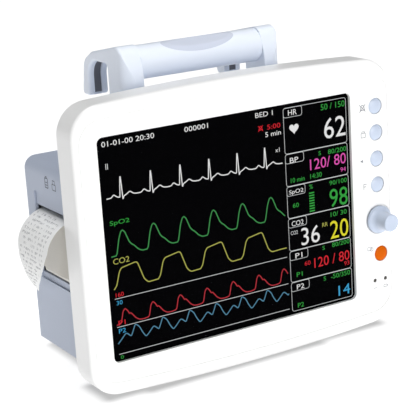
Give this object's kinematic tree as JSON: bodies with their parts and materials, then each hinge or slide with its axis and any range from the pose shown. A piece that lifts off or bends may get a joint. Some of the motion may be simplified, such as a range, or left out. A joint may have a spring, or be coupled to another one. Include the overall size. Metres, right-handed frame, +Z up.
{
  "type": "patient monitor",
  "caption": "Bedside patient monitor: white framed screen with keys and turning knob, blue-grey case, carrying handle with rail hooks and side strip printer.",
  "frame": {"origin": "centre of the four-hole stand pattern, in the plane of the base plate's underside", "axes": "+X to the reader's right, +Y towards the back, +Z up"},
  "size_m": [0.2852, 0.1488, 0.2428],
  "materials": {
    "bezel_white": "fine satin",
    "case_blue": "fine grain",
    "handle_blue": "satin",
    "grip_soft": "soft touch",
    "key_blue": "satin",
    "key_orange": "satin",
    "window_clear": "hard coated",
    "display_black": "lit panel",
    "foam_black": "foam",
    "steel_sheet": "zinc plated",
    "screw_steel": "zinc plated",
    "board_green": "solder mask",
    "lamp_smoke": "smoked lens",
    "rubber_dark": "moulded",
    "brass_insert": "machined",
    "door_cream": "smooth",
    "paper_white": "thermal",
    "spool_grey": "moulded",
    "gear_nylon": "nylon",
    "platen_black": "ground",
    "head_ceramic": "glazed",
    "motor_can": "plated",
    "battery_wrap": "shrink wrap",
    "module_shield": "stamped",
    "panel_grey": "fine grain",
    "socket_green": "moulded",
    "socket_blue": "moulded",
    "socket_red": "moulded",
    "port_grey": "moulded",
    "port_yellow": "moulded",
    "inlet_black": "moulded"
  },
  "bodies": {
    "case": {"front_bezel": "bezel_white", "window_gasket": "foam_black", "screen_window": "window_clear", "lcd_panel": "display_black", "lcd_frame": "steel_sheet", "key_board": "board_green", "status_lamps": "lamp_smoke", "encoder_case": "steel_sheet", "rear_housing": "case_blue", "base_plate": "case_blue", "stand_inserts": "brass_insert", "rubber_feet": "rubber_dark", "case_screws": "screw_steel", "handle_bracket_left": "handle_blue", "handle_bracket_right": "handle_blue", "hook_linings": "rubber_dark", "handle_bar": "handle_blue", "grip_pad": "grip_soft", "stepper_motor": "motor_can", "thermal_head": "head_ceramic", "printer_chassis": "steel_sheet", "door_pin": "steel_sheet", "roll_spindle": "spool_grey", "printer_top_cover": "case_blue", "printer_sill": "case_blue", "paper_strip": "paper_white", "battery_pack": "battery_wrap", "mains_inlet": "inlet_black", "switch_frame": "inlet_black", "earth_terminal": "brass_insert", "socket_panel": "panel_grey", "ecg_socket": "socket_green", "spo2_socket": "socket_blue", "pressure_sockets": "socket_red", "cuff_port": "port_grey", "gas_port": "port_yellow", "chassis_plate": "steel_sheet", "main_board": "board_green", "power_supply": "module_shield", "parameter_module": "module_shield", "cuff_pump": "motor_can", "speaker": "rubber_dark"},
    "silence_button": {"silence_key": "key_blue"},
    "record_button": {"record_key": "key_blue"},
    "volume_button": {"volume_key": "key_blue"},
    "function_button": {"function_key": "key_blue"},
    "nibp_button": {"nibp_key": "key_orange"},
    "encoder_push": {"encoder_plunger": "gear_nylon"},
    "encoder_turn": {"encoder_knob": "key_blue", "encoder_shaft": "steel_sheet"},
    "printer_door": {"printer_door": "door_cream"},
    "platen": {"platen_rubber": "platen_black", "platen_shaft": "steel_sheet", "platen_gear": "gear_nylon"},
    "idler": {"idler_gear": "gear_nylon"},
    "rotor": {"motor_rotor": "brass_insert"},
    "roll": {"paper_roll": "paper_white", "paper_core": "spool_grey"},
    "battery_cover": {"battery_door": "case_blue"},
    "rocker": {"power_rocker": "inlet_black"}
  },
  "joints": [
    {"name": "silence_press", "type": "slide", "parent": "case", "child": "silence_button", "axis": [0, 1, 0], "range_m": [0, 0.001], "stiffness_N_per_m": 300, "springref_m": -0.002},
    {"name": "record_press", "type": "slide", "parent": "case", "child": "record_button", "axis": [0, 1, 0], "range_m": [0, 0.001], "stiffness_N_per_m": 300, "springref_m": -0.002},
    {"name": "volume_press", "type": "slide", "parent": "case", "child": "volume_button", "axis": [0, 1, 0], "range_m": [0, 0.001], "stiffness_N_per_m": 300, "springref_m": -0.002},
    {"name": "function_press", "type": "slide", "parent": "case", "child": "function_button", "axis": [0, 1, 0], "range_m": [0, 0.001], "stiffness_N_per_m": 300, "springref_m": -0.002},
    {"name": "nibp_press", "type": "slide", "parent": "case", "child": "nibp_button", "axis": [0, 1, 0], "range_m": [0, 0.001], "stiffness_N_per_m": 300, "springref_m": -0.002},
    {"name": "encoder_press", "type": "slide", "parent": "case", "child": "encoder_push", "axis": [0, 1, 0], "range_m": [0, 0.0005], "stiffness_N_per_m": 1200, "springref_m": -0.002},
    {"name": "encoder_rotation", "type": "hinge", "parent": "encoder_push", "child": "encoder_turn", "pos_m": [0.121, -0.0748, 0.0832], "axis": [0, -1, 0], "continuous": true},
    {"name": "door_swing", "type": "hinge", "parent": "case", "child": "printer_door", "pos_m": [-0.1273, -0.027, 0.081], "axis": [0, -1, 0], "range_deg": [0, 85], "deforming": ["paper_strip"]},
    {"name": "roll_rotation", "type": "hinge", "parent": "case", "child": "roll", "pos_m": [-0.1055, -0.0236, 0.098], "axis": [0, 1, 0], "continuous": true},
    {"name": "platen_rotation", "type": "hinge", "parent": "printer_door", "child": "platen", "pos_m": [-0.121, -0.0236, 0.12], "axis": [0, 1, 0], "continuous": true},
    {"name": "idler_rotation", "type": "hinge", "parent": "case", "child": "idler", "pos_m": [-0.10619, 0.00245, 0.11761], "axis": [0, 1, 0], "continuous": true},
    {"name": "rotor_rotation", "type": "hinge", "parent": "case", "child": "rotor", "pos_m": [-0.09989, 0.00245, 0.12852], "axis": [0, 1, 0], "continuous": true},
    {"name": "battery_swing", "type": "hinge", "parent": "case", "child": "battery_cover", "pos_m": [0.038, 0.0426, 0.0142], "axis": [-1, 0, 0], "range_deg": [0, 90]},
    {"name": "power_tilt", "type": "hinge", "parent": "case", "child": "rocker", "pos_m": [-0.013, 0.043, 0.028], "axis": [1, 0, 0], "range_deg": [-16, 0]}
  ],
  "couplings": [
    {"joint": "platen_rotation", "follows": "roll_rotation", "ratio": 4},
    {"joint": "idler_rotation", "follows": "roll_rotation", "ratio": -2.6667},
    {"joint": "rotor_rotation", "follows": "roll_rotation", "ratio": 6.6667}
  ]
}
